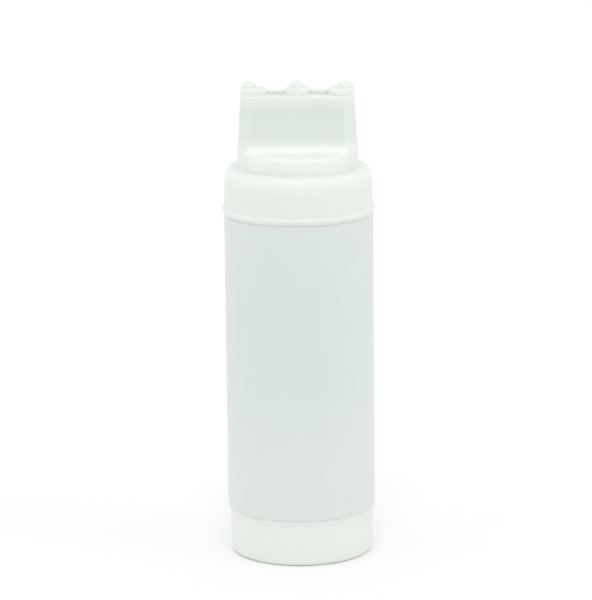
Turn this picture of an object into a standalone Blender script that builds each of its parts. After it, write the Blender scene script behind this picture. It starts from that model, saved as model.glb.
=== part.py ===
"""Two-way condiment squeeze bottle, built from its separate mouldings and seals.

The soft body is open at both ends. It stands on a screw-on base cap and carries a screw-on nozzle cap
whose wedge block ends in three stepped tips. Lengths are in metres, +Z is up, the front faces -Y and
the underside of the base cap lies on z = 0.
"""
import math

import bmesh
import bpy
from mathutils import Vector

# Soft body, a straight tube with a shoulder and a neck at each end
BODY_RADIUS = 0.0363
BODY_LENGTH = 0.1460
BODY_WALL = 0.0011
BODY_TOP_FILLET = 0.0025
BODY_FOOT_FILLET = 0.0006
BODY_INNER_FILLET = 0.0014
NECK_WALL = 0.0014
UPPER_NECK_LENGTH = 0.0195
LOWER_NECK_LENGTH = 0.0187
NECK_RIM_FILLET = 0.0004

# Clearances between the pieces
SEAT_GAP = 0.0003
BASE_GAP = 0.0002
SKIRT_GAP = 0.0004
THREAD_ROOM = 0.0014
SEAL_SIDE_GAP = 0.0002
SEAL_RIB_GAP = 0.0004

# Sealing rings, one under each cap
SEAL_THICKNESS = 0.0015
SEAL_WIDTH = 0.0029
SEAL_OVERHANG = 0.0002
SEAL_EDGE = 0.0003

# Both caps
CAP_WALL = 0.0013
CAP_LEAD_IN = 0.0008

# Base cap
BASE_FLOOR = 0.0024
BASE_RIM_STEP = 0.0004
BASE_RIM_HEIGHT = 0.0008
BASE_RIM_FILLET = 0.0003
BASE_TAPER_HEIGHT = 0.0020
BASE_WALL_STEP = 0.0007
BASE_WALL_DRAFT = 0.0003
BASE_FOOT_FILLET = 0.0026
SEAL_RIB_WIDTH = 0.0010
SEAL_RIB_HEIGHT = 0.0010

# Nozzle cap, turned part: bead, drafted skirt, sloping shoulder, tower and roof
BEAD_HEIGHT = 0.0046
BEAD_BULGE = 0.0011
SKIRT_DRAFT = 0.0006
CEILING_WALL = 0.0034
CEILING_CHAMFER_HEIGHT = 0.0024
SHOULDER_RUN = 0.0061
SHOULDER_DROP = 0.0034
SHOULDER_FILLET = 0.0054
TOWER_DRAFT = 0.0003
TOWER_HEIGHT = 0.0069
TOWER_WALL = 0.0019
TOWER_EDGE_FILLET = 0.0010
TOWER_BORE_FLARE = 0.0005
ROOF_RISE = 0.0021
ROOF_WALL = 0.0024

# Nozzle cap, wedge block: its top and how it widens down to the roof's edge
BLOCK_HEIGHT = 0.0267
BLOCK_STEP = 0.0002
BLOCK_END_TAPER = 0.00165
BLOCK_TOP_HALF_DEPTH = 0.0072
BLOCK_FACE_TAPER = 0.0080
BLOCK_TOP_FLAT = 0.0009
BLOCK_FOOT_FLAT = 0.0030
BLOCK_TOP_EDGE = 0.0010
BLOCK_TOP_WALL = 0.0027
BLOCK_SIDE_WALL = 0.0024
BLOCK_ROOT = 0.0012
CHAMBER_CORNER_SHARE = 0.80

# Nozzle cap, recessed panel on the block's front and back
PANEL_FRAME = 0.00415
PANEL_FOOT_RECESS = 0.0021
PANEL_TOP_RECESS = 0.0010
PANEL_WALL = 0.0017
PANEL_FOOT_RISE = 0.0031
PANEL_TOP_DROP = 0.0062
PANEL_SIDE_DRAFT = 0.0010
PANEL_TOP_SLOPE = 0.0060
PANEL_FILLET = 0.0014
LEDGE_DROP_SHARE = 0.78

# Nozzle cap, three stepped tips in a row and the upright rib that joins them
PAD_MARGIN = 0.0007
PAD_END_MARGIN = 0.00005
PAD_HEIGHT = 0.0034
PAD_FILLET = 0.0015
DOME_RADIUS_SHARE = 0.577
DOME_END_MARGIN = 0.0006
DOME_HEIGHT = 0.0027
DOME_FILLET_SHARE = 0.87
TIP_ROOT = 0.0014
TIP_BORE_RADIUS = 0.0010
RIB_WIDTH = 0.0028
RIB_HEIGHT = 0.0021
RIB_EDGE = 0.0007
RIB_ROOT = 0.0010
CUT_OVERRUN = 0.0020

# Finishes: colour, roughness and the share of light that passes through
BODY_COLOUR = (0.78, 0.83, 0.80)
BODY_ROUGHNESS = 0.38
BODY_CLEAR_SHARE = 0.35
NOZZLE_COLOUR = (0.88, 0.91, 0.88)
NOZZLE_ROUGHNESS = 0.34
BASE_COLOUR = (0.86, 0.89, 0.86)
BASE_ROUGHNESS = 0.36
CAP_CLEAR_SHARE = 0.20
SEAL_COLOUR = (0.86, 0.87, 0.86)
SEAL_ROUGHNESS = 0.60
SEAL_CLEAR_SHARE = 0.10

# Facets
TURN_STEPS = 72
SEAL_STEPS = 48
TIP_STEPS = 24
FILLET_POINTS = 3
SHOULDER_POINTS = 7
CORNER_POINTS = 6
MERGE_DISTANCE = 0.00001
SHARP_ANGLE = math.radians(32)

# Radii, worked out inwards from the body's outside
BASE_RIM_RADIUS = BODY_RADIUS - BASE_RIM_STEP
BASE_WALL_TOP_RADIUS = BASE_RIM_RADIUS - BASE_WALL_STEP
BASE_WALL_FOOT_RADIUS = BASE_WALL_TOP_RADIUS - BASE_WALL_DRAFT
CAP_BORE_RADIUS = BASE_WALL_FOOT_RADIUS - CAP_WALL
NECK_RADIUS = CAP_BORE_RADIUS - THREAD_ROOM
SEAL_OUTER_RADIUS = NECK_RADIUS + SEAL_OVERHANG
SEAL_INNER_RADIUS = SEAL_OUTER_RADIUS - SEAL_WIDTH
SEAL_RIB_RADIUS = SEAL_INNER_RADIUS - SEAL_RIB_GAP
CEILING_RADIUS = SEAL_OUTER_RADIUS + SEAL_SIDE_GAP
SKIRT_TOP_RADIUS = BODY_RADIUS - SKIRT_DRAFT
TOWER_FOOT_RADIUS = SKIRT_TOP_RADIUS - SHOULDER_RUN
TOWER_TOP_RADIUS = TOWER_FOOT_RADIUS - TOWER_DRAFT
TOWER_BORE_RADIUS = TOWER_TOP_RADIUS - TOWER_WALL

# Wedge block, panel and tips, worked out from the tower and from the block's top
BLOCK_FOOT_HALF_WIDTH = TOWER_TOP_RADIUS - BLOCK_STEP
BLOCK_TOP_HALF_WIDTH = BLOCK_FOOT_HALF_WIDTH - BLOCK_END_TAPER
BLOCK_FOOT_HALF_DEPTH = BLOCK_TOP_HALF_DEPTH + BLOCK_FACE_TAPER
BLOCK_FOOT_CORNER = BLOCK_FOOT_HALF_DEPTH - BLOCK_FOOT_FLAT
BLOCK_TOP_CORNER = BLOCK_TOP_HALF_DEPTH - BLOCK_TOP_FLAT
PANEL_HALF_WIDTH = BLOCK_TOP_HALF_WIDTH - PANEL_FRAME
PAD_RADIUS = BLOCK_TOP_HALF_DEPTH - PAD_MARGIN
PAD_OFFSET = BLOCK_TOP_HALF_WIDTH - PAD_END_MARGIN - PAD_RADIUS
DOME_RADIUS = PAD_RADIUS * DOME_RADIUS_SHARE
DOME_OFFSET = BLOCK_TOP_HALF_WIDTH - DOME_END_MARGIN - DOME_RADIUS
DOME_FILLET = (DOME_RADIUS - TIP_BORE_RADIUS) * DOME_FILLET_SHARE

# Heights, each worked out from the piece below it
BASE_SEAL_Z = BASE_FLOOR + SEAT_GAP
LOWER_RIM_Z = BASE_SEAL_Z + SEAL_THICKNESS + SEAT_GAP
LOWER_SHOULDER_Z = LOWER_RIM_Z + LOWER_NECK_LENGTH
BASE_RIM_Z = LOWER_SHOULDER_Z - BASE_GAP
UPPER_SHOULDER_Z = LOWER_SHOULDER_Z + BODY_LENGTH
UPPER_RIM_Z = UPPER_SHOULDER_Z + UPPER_NECK_LENGTH
NOZZLE_SEAL_Z = UPPER_RIM_Z + SEAT_GAP
CEILING_Z = NOZZLE_SEAL_Z + SEAL_THICKNESS + SEAT_GAP
SKIRT_BOTTOM_Z = UPPER_SHOULDER_Z + SKIRT_GAP
BEAD_TOP_Z = SKIRT_BOTTOM_Z + BEAD_HEIGHT
TOWER_FOOT_Z = CEILING_Z + CEILING_WALL
SHOULDER_CORNER_Z = TOWER_FOOT_Z - SHOULDER_DROP
ROOF_EDGE_Z = TOWER_FOOT_Z + TOWER_HEIGHT
ROOF_CENTRE_Z = ROOF_EDGE_Z + ROOF_RISE
BLOCK_TOP_Z = ROOF_EDGE_Z + BLOCK_HEIGHT
RIB_TOP_Z = BLOCK_TOP_Z + RIB_HEIGHT
PAD_TOP_Z = BLOCK_TOP_Z + PAD_HEIGHT
DOME_TOP_Z = PAD_TOP_Z + DOME_HEIGHT


def clear_scene():
    """Removes every object, so that the script starts from nothing."""
    for item in list(bpy.data.objects):
        bpy.data.objects.remove(item, do_unlink=True)


def new_collection(name):
    """Makes a collection in the scene."""
    collection = bpy.data.collections.new(name)
    bpy.context.scene.collection.children.link(collection)
    return collection


def plastic(name, colour, roughness, transmission):
    """Makes a Principled material for a moulded plastic or a seal."""
    material = bpy.data.materials.new(name)
    material.use_nodes = True
    shader = material.node_tree.nodes["Principled BSDF"]
    shader.inputs["Base Color"].default_value = (*colour, 1.0)
    shader.inputs["Roughness"].default_value = roughness
    shader.inputs["Metallic"].default_value = 0.0
    shader.inputs["Transmission Weight"].default_value = transmission
    material.diffuse_color = (*colour, 1.0)
    return material


def between(low, high, share):
    """Returns the value at a share of the way from low to high."""
    return low + (high - low) * share


def arc(centre, radii, start, end, points):
    """Returns points on an ellipse's arc, ends included, as (radius, height)."""
    (centre_r, centre_z), (radius_r, radius_z) = centre, radii
    turns = [between(start, end, index / points) for index in range(points + 1)]
    return [(centre_r + radius_r * math.cos(turn), centre_z + radius_z * math.sin(turn)) for turn in turns]


def outer_fillet_top(radius, height, fillet):
    """Rounds the upper outer edge of a turned piece, from its top face to its side."""
    centre = (radius - fillet, height - fillet)
    return arc(centre, (fillet, fillet), math.pi / 2, 0, FILLET_POINTS)


def outer_fillet_bottom(radius, height, fillet):
    """Rounds the lower outer edge of a turned piece, from its side to its underside."""
    centre = (radius - fillet, height + fillet)
    return arc(centre, (fillet, fillet), 0, -math.pi / 2, FILLET_POINTS)


def rounded_corner(before, corner, after, fillet):
    """Rounds an outline's corner with an arc that touches the runs from and to its neighbour points."""
    corner = Vector(corner)
    to_before = (Vector(before) - corner).normalized()
    to_after = (Vector(after) - corner).normalized()
    half_angle = to_before.angle(to_after) / 2
    centre = corner + (to_before + to_after).normalized() * fillet / math.sin(half_angle)
    start = corner + to_before * fillet / math.tan(half_angle) - centre
    end = corner + to_after * fillet / math.tan(half_angle) - centre
    turns = [math.atan2(spoke.y, spoke.x) for spoke in (start, end)]
    return arc(centre, (fillet, fillet), *turns, SHOULDER_POINTS)


def turned(name, outline, steps, closed, collection):
    """Turns an outline of (radius, height) points about Z with a Screw modifier."""
    mesh = bpy.data.meshes.new(name)
    links = [(index, index + 1) for index in range(len(outline) - 1)]
    if closed:
        links.append((len(outline) - 1, 0))
    mesh.from_pydata([(radius, 0.0, height) for radius, height in outline], links, [])
    item = bpy.data.objects.new(name, mesh)
    collection.objects.link(item)
    screw = item.modifiers.new("turn", "SCREW")
    screw.axis = "Z"
    screw.angle = math.tau
    screw.steps = steps
    screw.render_steps = steps
    screw.use_merge_vertices = True
    screw.merge_threshold = MERGE_DISTANCE
    screw.use_smooth_shade = True
    return item


def fixed_mesh(item):
    """Replaces an object's modifiers by their result, so that it can be cut or shaded."""
    bpy.context.view_layer.update()
    evaluated = item.evaluated_get(bpy.context.evaluated_depsgraph_get())
    mesh = bpy.data.meshes.new_from_object(evaluated)
    item.modifiers.clear()
    item.data = mesh
    mesh.name = item.name
    return item


def place(item, axis_height):
    """Moves an object's origin up the axis and leaves its shape where it is."""
    for vertex in item.data.vertices:
        vertex.co.z -= axis_height
    item.location.z = axis_height


def hide_tool(item):
    """Marks an object as one that only cuts or joins others."""
    item.hide_render = True
    item.display_type = "WIRE"


def combine(item, tool, operation):
    """Adds an exact Boolean of a tool object to an object."""
    hide_tool(tool)
    boolean = item.modifiers.new(tool.name, "BOOLEAN")
    boolean.operation = operation
    boolean.solver = "EXACT"
    boolean.object = tool


def smooth(item):
    """Shades an object smooth, with its real edges kept sharp."""
    item.data.shade_smooth()
    item.data.set_sharp_from_angle(angle=SHARP_ANGLE)


def rounded_rectangle(half_width, half_depth, corner, height):
    """Returns a rounded rectangle's points at a height, counter-clockwise seen from above."""
    points = []
    for quarter, (side_x, side_y) in enumerate([(1, 1), (-1, 1), (-1, -1), (1, -1)]):
        centre_x = side_x * (half_width - corner)
        centre_y = side_y * (half_depth - corner)
        for index in range(CORNER_POINTS + 1):
            turn = math.pi / 2 * (quarter + index / CORNER_POINTS)
            points.append((centre_x + corner * math.cos(turn), centre_y + corner * math.sin(turn), height))
    return points


def loft(name, sections, collection):
    """Joins like rings of points, bottom to top, and closes both ends."""
    mesh = bpy.data.meshes.new(name)
    shape = bmesh.new()
    rings = [[shape.verts.new(point) for point in section] for section in sections]
    for lower, upper in zip(rings, rings[1:]):
        for index in range(len(lower)):
            after = (index + 1) % len(lower)
            shape.faces.new((lower[index], lower[after], upper[after], upper[index]))
    shape.faces.new(list(reversed(rings[0])))
    shape.faces.new(rings[-1])
    shape.to_mesh(mesh)
    shape.free()
    item = bpy.data.objects.new(name, mesh)
    collection.objects.link(item)
    return item


def block_share(height):
    """Returns how far up the wedge block a height is, from 0 at the roof's edge to 1 at its top."""
    return (height - ROOF_EDGE_Z) / BLOCK_HEIGHT


def block_half_width(height):
    """Returns the wedge block's half width at a height."""
    return between(BLOCK_FOOT_HALF_WIDTH, BLOCK_TOP_HALF_WIDTH, block_share(height))


def block_half_depth(height):
    """Returns the wedge block's half depth at a height."""
    return between(BLOCK_FOOT_HALF_DEPTH, BLOCK_TOP_HALF_DEPTH, block_share(height))


def block_corner(height):
    """Returns the corner radius of the wedge block's plan at a height."""
    return between(BLOCK_FOOT_CORNER, BLOCK_TOP_CORNER, block_share(height))


def block_section(height, inset):
    """Returns the wedge block's outline at a height, drawn in by an inset."""
    return rounded_rectangle(
        block_half_width(height) - inset,
        block_half_depth(height) - inset,
        block_corner(height) - inset,
        height,
    )


def chamber_section(height):
    """Returns the outline of the hollow inside the block at a height."""
    half_width = block_half_width(height) - BLOCK_SIDE_WALL
    half_depth = block_half_depth(height) - PANEL_FOOT_RECESS - PANEL_WALL
    return rounded_rectangle(half_width, half_depth, half_depth * CHAMBER_CORNER_SHARE, height)


def make_block(tools):
    """Lofts the wedge block from its root in the roof to its rounded top edge."""
    sections = [block_section(ROOF_EDGE_Z - BLOCK_ROOT, 0.0)]
    edge_foot = BLOCK_TOP_Z - BLOCK_TOP_EDGE
    for index in range(FILLET_POINTS + 1):
        turn = math.pi / 2 * index / FILLET_POINTS
        height = edge_foot + BLOCK_TOP_EDGE * math.sin(turn)
        sections.append(block_section(height, BLOCK_TOP_EDGE * (1 - math.cos(turn))))
    return loft("wedge_block", sections, tools)


def make_panel_cutter(side, tools):
    """Makes the cutter of one recessed panel: a box with a leaning inner face and round inner edges."""
    foot_z = ROOF_EDGE_Z + PANEL_FOOT_RISE
    top_z = BLOCK_TOP_Z - PANEL_TOP_DROP
    mesh = bpy.data.meshes.new("panel_cutter")
    shape = bmesh.new()
    bmesh.ops.create_cube(shape, size=2.0)
    inner_edges = [edge for edge in shape.edges if max(vertex.co.y for vertex in edge.verts) < 0]
    for vertex in shape.verts:
        sign_x, inner, upper = vertex.co.x, vertex.co.y < 0, vertex.co.z > 0
        height = top_z if upper else foot_z
        recess = PANEL_TOP_RECESS if upper else PANEL_FOOT_RECESS
        depth = block_half_depth(height) - recess
        half_width = PANEL_HALF_WIDTH
        if not inner:
            reach = recess + CUT_OVERRUN
            depth += reach
            half_width += PANEL_SIDE_DRAFT
            height += PANEL_TOP_SLOPE if upper else -reach * LEDGE_DROP_SHARE
        vertex.co = (sign_x * half_width, depth, height)
    bmesh.ops.bevel(
        shape,
        geom=inner_edges,
        offset=PANEL_FILLET,
        offset_type="OFFSET",
        segments=FILLET_POINTS,
        profile=0.5,
        affect="EDGES",
    )
    shape.to_mesh(mesh)
    shape.free()
    item = bpy.data.objects.new("panel_cutter", mesh)
    item.rotation_euler.z = math.pi if side < 0 else 0.0
    tools.objects.link(item)
    return item


def make_chamber(tools):
    """Lofts the hollow that leads from the tower up to the three tips."""
    lower = ROOF_EDGE_Z - ROOF_WALL - CUT_OVERRUN
    upper = BLOCK_TOP_Z - BLOCK_TOP_WALL
    return loft("chamber", [chamber_section(lower), chamber_section(upper)], tools)


def make_rib(tools):
    """Lofts the upright rib that joins the tips, from the middle of one end pad to the other."""
    half_width = RIB_WIDTH / 2
    foot_z = BLOCK_TOP_Z - RIB_ROOT
    edge = outer_fillet_top(half_width, RIB_TOP_Z, RIB_EDGE)
    curve = list(reversed(edge)) + [(-depth, height) for depth, height in edge]
    curve += [(-half_width, foot_z), (half_width, foot_z)]
    ends = [[(end_x, depth, height) for depth, height in curve] for end_x in (-PAD_OFFSET, PAD_OFFSET)]
    return loft("rib", ends, tools)


def make_pad(offset, tools):
    """Turns the wide lower step of a tip."""
    outline = [(0.0, PAD_TOP_Z)]
    outline += outer_fillet_top(PAD_RADIUS, PAD_TOP_Z, PAD_FILLET)
    outline += [(PAD_RADIUS, BLOCK_TOP_Z - TIP_ROOT), (0.0, BLOCK_TOP_Z - TIP_ROOT)]
    item = fixed_mesh(turned("tip_pad", outline, TIP_STEPS, False, tools))
    item.location.x = offset
    return item


def make_dome(offset, tools):
    """Turns the narrow rounded end of a tip."""
    outline = [(0.0, DOME_TOP_Z)]
    outline += outer_fillet_top(DOME_RADIUS, DOME_TOP_Z, DOME_FILLET)
    outline += [(DOME_RADIUS, PAD_TOP_Z - TIP_ROOT), (0.0, PAD_TOP_Z - TIP_ROOT)]
    item = fixed_mesh(turned("tip_dome", outline, TIP_STEPS, False, tools))
    item.location.x = offset
    return item


def make_tip_bore(offset, tools):
    """Makes the cutter of the hole that runs from the chamber out of a tip."""
    lower = BLOCK_TOP_Z - BLOCK_TOP_WALL - CUT_OVERRUN
    upper = DOME_TOP_Z + CUT_OVERRUN
    mesh = bpy.data.meshes.new("tip_bore")
    shape = bmesh.new()
    bmesh.ops.create_cone(
        shape,
        cap_ends=True,
        segments=TIP_STEPS,
        radius1=TIP_BORE_RADIUS,
        radius2=TIP_BORE_RADIUS,
        depth=upper - lower,
    )
    shape.to_mesh(mesh)
    shape.free()
    item = bpy.data.objects.new("tip_bore", mesh)
    item.location = (offset, 0.0, (lower + upper) / 2)
    item.rotation_euler.z = math.pi / TIP_STEPS
    tools.objects.link(item)
    return item


def nozzle_outline():
    """Returns the outline of the nozzle cap's turned part, roof first and the bore last."""
    tower_foot = (TOWER_FOOT_RADIUS, TOWER_FOOT_Z)
    shoulder = (SKIRT_TOP_RADIUS, SHOULDER_CORNER_Z)
    bead_top = (BODY_RADIUS, BEAD_TOP_Z)
    bead = (BODY_RADIUS, SKIRT_BOTTOM_Z + BEAD_HEIGHT / 2)
    outline = [(0.0, ROOF_CENTRE_Z)]
    outline += outer_fillet_top(TOWER_TOP_RADIUS, ROOF_EDGE_Z, TOWER_EDGE_FILLET)
    outline += [tower_foot]
    outline += rounded_corner(tower_foot, shoulder, bead_top, SHOULDER_FILLET)
    outline += arc(bead, (BEAD_BULGE, BEAD_HEIGHT / 2), math.pi / 2, -math.pi / 2, SHOULDER_POINTS)
    outline += [
        (CAP_BORE_RADIUS + CAP_LEAD_IN, SKIRT_BOTTOM_Z),
        (CAP_BORE_RADIUS, SKIRT_BOTTOM_Z + CAP_LEAD_IN),
        (CAP_BORE_RADIUS, CEILING_Z - CEILING_CHAMFER_HEIGHT),
        (CEILING_RADIUS, CEILING_Z),
        (TOWER_BORE_RADIUS + TOWER_BORE_FLARE, CEILING_Z),
        (TOWER_BORE_RADIUS, ROOF_EDGE_Z - ROOF_WALL),
        (0.0, ROOF_CENTRE_Z - ROOF_WALL),
    ]
    return outline


def make_nozzle_cap(parts, tools):
    """Makes the nozzle cap: a turned shell joined to its wedge block and tips, then hollowed."""
    cap = fixed_mesh(turned("nozzle_cap", nozzle_outline(), TURN_STEPS, False, parts))
    block = make_block(tools)
    for side in (-1, 1):
        combine(block, make_panel_cutter(side, tools), "DIFFERENCE")
    combine(cap, fixed_mesh(block), "UNION")
    combine(cap, make_rib(tools), "UNION")
    for side in (-1, 0, 1):
        combine(cap, make_pad(side * PAD_OFFSET, tools), "UNION")
        combine(cap, make_dome(side * DOME_OFFSET, tools), "UNION")
    combine(cap, make_chamber(tools), "DIFFERENCE")
    for side in (-1, 0, 1):
        combine(cap, make_tip_bore(side * DOME_OFFSET, tools), "DIFFERENCE")
    fixed_mesh(cap)
    smooth(cap)
    place(cap, SKIRT_BOTTOM_Z)
    return cap


def make_bottle_body(parts):
    """Turns the soft body as one ring: down its outside, then up its inside."""
    inner_radius = BODY_RADIUS - BODY_WALL
    bore = NECK_RADIUS - NECK_WALL
    outside = outer_fillet_top(NECK_RADIUS, UPPER_RIM_Z, NECK_RIM_FILLET)
    outside += [(NECK_RADIUS, UPPER_SHOULDER_Z)]
    outside += outer_fillet_top(BODY_RADIUS, UPPER_SHOULDER_Z, BODY_TOP_FILLET)
    outside += outer_fillet_bottom(BODY_RADIUS, LOWER_SHOULDER_Z, BODY_FOOT_FILLET)
    outside += [(NECK_RADIUS, LOWER_SHOULDER_Z)]
    outside += outer_fillet_bottom(NECK_RADIUS, LOWER_RIM_Z, NECK_RIM_FILLET)
    lower = outer_fillet_bottom(inner_radius, LOWER_SHOULDER_Z + BODY_WALL, BODY_INNER_FILLET)
    upper = outer_fillet_top(inner_radius, UPPER_SHOULDER_Z - BODY_WALL, BODY_INNER_FILLET)
    inside = [(bore, LOWER_RIM_Z), (bore, LOWER_SHOULDER_Z + BODY_WALL)]
    inside += list(reversed(lower)) + list(reversed(upper))
    inside += [(bore, UPPER_SHOULDER_Z - BODY_WALL), (bore, UPPER_RIM_Z)]
    body = fixed_mesh(turned("bottle_body", outside + inside, TURN_STEPS, True, parts))
    smooth(body)
    place(body, LOWER_SHOULDER_Z)
    return body


def make_base_cap(parts):
    """Turns the base cap from the middle of its floor, over its rim and down to its underside."""
    taper_top = BASE_RIM_Z - BASE_RIM_HEIGHT
    taper_foot = taper_top - BASE_TAPER_HEIGHT
    outline = [
        (0.0, BASE_FLOOR),
        (SEAL_RIB_RADIUS - SEAL_RIB_WIDTH, BASE_FLOOR),
        (SEAL_RIB_RADIUS - SEAL_RIB_WIDTH, BASE_FLOOR + SEAL_RIB_HEIGHT),
        (SEAL_RIB_RADIUS, BASE_FLOOR + SEAL_RIB_HEIGHT),
        (SEAL_RIB_RADIUS, BASE_FLOOR),
        (CAP_BORE_RADIUS, BASE_FLOOR),
        (CAP_BORE_RADIUS, BASE_RIM_Z - CAP_LEAD_IN),
        (CAP_BORE_RADIUS + CAP_LEAD_IN, BASE_RIM_Z),
    ]
    outline += outer_fillet_top(BASE_RIM_RADIUS, BASE_RIM_Z, BASE_RIM_FILLET)
    outline += [(BASE_RIM_RADIUS, taper_top), (BASE_WALL_TOP_RADIUS, taper_foot)]
    outline += outer_fillet_bottom(BASE_WALL_FOOT_RADIUS, 0.0, BASE_FOOT_FILLET)
    outline += [(0.0, 0.0)]
    cap = fixed_mesh(turned("base_cap", outline, TURN_STEPS, False, parts))
    smooth(cap)
    place(cap, 0.0)
    return cap


def make_seal(name, height, parts):
    """Turns a flat sealing ring with broken edges."""
    top = height + SEAL_THICKNESS
    outline = [
        (SEAL_OUTER_RADIUS - SEAL_EDGE, top),
        (SEAL_OUTER_RADIUS, top - SEAL_EDGE),
        (SEAL_OUTER_RADIUS, height + SEAL_EDGE),
        (SEAL_OUTER_RADIUS - SEAL_EDGE, height),
        (SEAL_INNER_RADIUS, height),
        (SEAL_INNER_RADIUS, top),
    ]
    seal = fixed_mesh(turned(name, outline, SEAL_STEPS, True, parts))
    smooth(seal)
    place(seal, height)
    return seal


def build():
    """Builds every piece in its place and gives each its material."""
    clear_scene()
    parts = new_collection("squeeze_bottle")
    tools = new_collection("cutters")
    body = plastic("body_plastic", BODY_COLOUR, BODY_ROUGHNESS, BODY_CLEAR_SHARE)
    nozzle = plastic("nozzle_plastic", NOZZLE_COLOUR, NOZZLE_ROUGHNESS, CAP_CLEAR_SHARE)
    base = plastic("base_plastic", BASE_COLOUR, BASE_ROUGHNESS, CAP_CLEAR_SHARE)
    finishes = {
        make_bottle_body(parts): body,
        make_nozzle_cap(parts, tools): nozzle,
        make_base_cap(parts): base,
    }
    for name, height in (("nozzle_seal", NOZZLE_SEAL_Z), ("base_seal", BASE_SEAL_Z)):
        silicone = plastic(name + "_silicone", SEAL_COLOUR, SEAL_ROUGHNESS, SEAL_CLEAR_SHARE)
        finishes[make_seal(name, height, parts)] = silicone
    for item, finish in finishes.items():
        item.data.materials.clear()
        item.data.materials.append(finish)


build()
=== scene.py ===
"""Two-way condiment squeeze bottle: moulded surfaces, finishes, light and camera.

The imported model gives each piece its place. The visible mouldings are worked out here as surfaces of
two parameters, with their screw threads, rounded edges and recessed panels. Lengths are in metres.
"""
import math

import bmesh
import bpy
import numpy as np
from bpy.props import FloatProperty, FloatVectorProperty, IntProperty, PointerProperty
from mathutils import Matrix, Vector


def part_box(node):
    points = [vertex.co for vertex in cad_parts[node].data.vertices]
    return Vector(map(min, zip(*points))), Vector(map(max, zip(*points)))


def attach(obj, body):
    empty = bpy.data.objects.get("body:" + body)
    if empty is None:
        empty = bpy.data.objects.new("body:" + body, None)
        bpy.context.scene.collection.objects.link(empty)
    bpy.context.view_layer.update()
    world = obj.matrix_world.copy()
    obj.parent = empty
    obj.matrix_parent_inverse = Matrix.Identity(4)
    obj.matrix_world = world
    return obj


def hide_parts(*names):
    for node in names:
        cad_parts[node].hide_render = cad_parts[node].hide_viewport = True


bl_info = {
    "name": "Squeeze Bottle Mouldings",
    "version": (1, 0, 0),
    "blender": (4, 5, 0),
    "location": "View3D > Sidebar > Bottle",
    "description": "Builds the mouldings, finishes and stage of a two-way squeeze bottle",
    "category": "Object",
}

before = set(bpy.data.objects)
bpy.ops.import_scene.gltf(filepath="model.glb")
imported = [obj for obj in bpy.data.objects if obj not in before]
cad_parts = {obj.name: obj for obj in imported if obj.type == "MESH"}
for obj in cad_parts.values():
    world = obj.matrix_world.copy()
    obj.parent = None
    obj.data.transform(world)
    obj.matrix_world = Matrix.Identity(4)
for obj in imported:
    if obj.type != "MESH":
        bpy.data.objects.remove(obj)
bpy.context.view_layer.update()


def node_height(node, end):
    """Returns the height of a CAD node's lower (end 0) or upper (end 1) side."""
    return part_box(node)[end][2]


BASE_RIM_Z = node_height("base_cap", 1)
LOWER_RIM_Z = node_height("bottle_body", 0)
UPPER_RIM_Z = node_height("bottle_body", 1)
SKIRT_BOTTOM_Z = node_height("nozzle_cap", 0)
TIP_TOP_Z = node_height("nozzle_cap", 1)
BODY_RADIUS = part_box("bottle_body")[1][0]

# Joined steps: depth into the step below, least width of a rounded foot, share of the free width
# that it takes, and depth of a seat, so that no two faces fall together
TIP_SINK = 0.0011
LEAST_ROOM = 0.000001
ROOM_SHARE = 0.94
SEAT_SINK = 0.00001

# Shares of a facet by which domes and bores are turned, so that no two edges fall together, and how
# far down a bore reaches, in thicknesses of the block's top
DOME_TURN = 0.5
BORE_TURN = 0.25
BORE_REACH = 1.5

# Facets and rows of the surfaces
SEAL_COLUMNS = 192
TIP_COLUMNS = 96
BEAD_ROWS = 25
BLOCK_ROWS = 100
EDGE_ROWS = 9
CHAMBER_ROWS = 12
RIB_ROWS = 9
FLARE_ROWS = 8

# Distance between the points of a threaded wall's outline and of any other
THREAD_SPACING = 0.00034
PLAIN_SPACING = 0.0060

# Angle between a rounding's points, half the angle at which two sides count as straight, and the
# angle past which an edge is shaded sharp
ARC_STEP = math.radians(9)
STRAIGHT_HALF = math.radians(89)
SHARP_ANGLE = math.radians(40)

# How near two points are to be merged, and a point to a wall to count as on it
WELD_REACH = 1e-7
WALL_REACH = 0.0002

# Threads: steepness of a ridge's sides, and how many of its run-out ends would fill a turn
THREAD_SLOPE = 1.6
THREAD_ENDS = 6

# Slopes and softness past the panel's sides, its foot and its ledge, and where it meets the face
SIDE_SLOPE = 2.2
SIDE_SOFTNESS = 0.0009
LEDGE_SLOPE = 0.8
LEDGE_SOFTNESS = 0.0008
STEEP_SLOPE = 1.6
STEEP_SOFTNESS = 0.0003
FACE_SOFTNESS = 0.0004

# Corner radius of the hollow in the block, as a share of half its depth
CHAMBER_ROUNDNESS = 0.8

# Where the body grows paler, and the caps' tone shares from 0 to 1, which hold how heavy a wall is and
# also painted light and shade
# The body grows paler below BODY_LOW_Z: painted bounce light from the floor
BODY_LOW_Z = 0.098
BODY_LOW_RUN = 0.050
BODY_HIGH_Z = 0.125
BODY_HIGH_RUN = 0.040
BODY_HIGH_SHARE = 0.45
BODY_RIM_RUN = 0.0028
# The shoulder's rounding is lightest, partly for more plastic and partly as painted light from above,
# and the colour darkens down the skirt; the shoulder's flat top is darker again, painted shade that
# dims its highlight
SKIRT_SHARE = 0.32
SKIRT_RUN = 0.0120
TOP_SHARE = 0.36
SHOULDER_SHARE = 0.80
SHOULDER_RUN = 0.0024
TOWER_SHARE = 0.68
ROOF_SHARE = 0.67
# The ledge under a panel is lightest, partly for its solid corner and partly as a painted highlight
LEDGE_SHARE = 1.0
LEDGE_HEIGHT = 0.0026
LEDGE_RUN = 0.0008
# Painted shade darkens the block's ends and the tower's sides beside them
SIDE_SHADE = 0.26
SIDE_RUN = 0.0040
BLOCK_SHARE = 0.04
LIP_SHARE = 0.38
LIP_RUN = 0.0070
TIP_SHARE = 0.42
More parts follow.
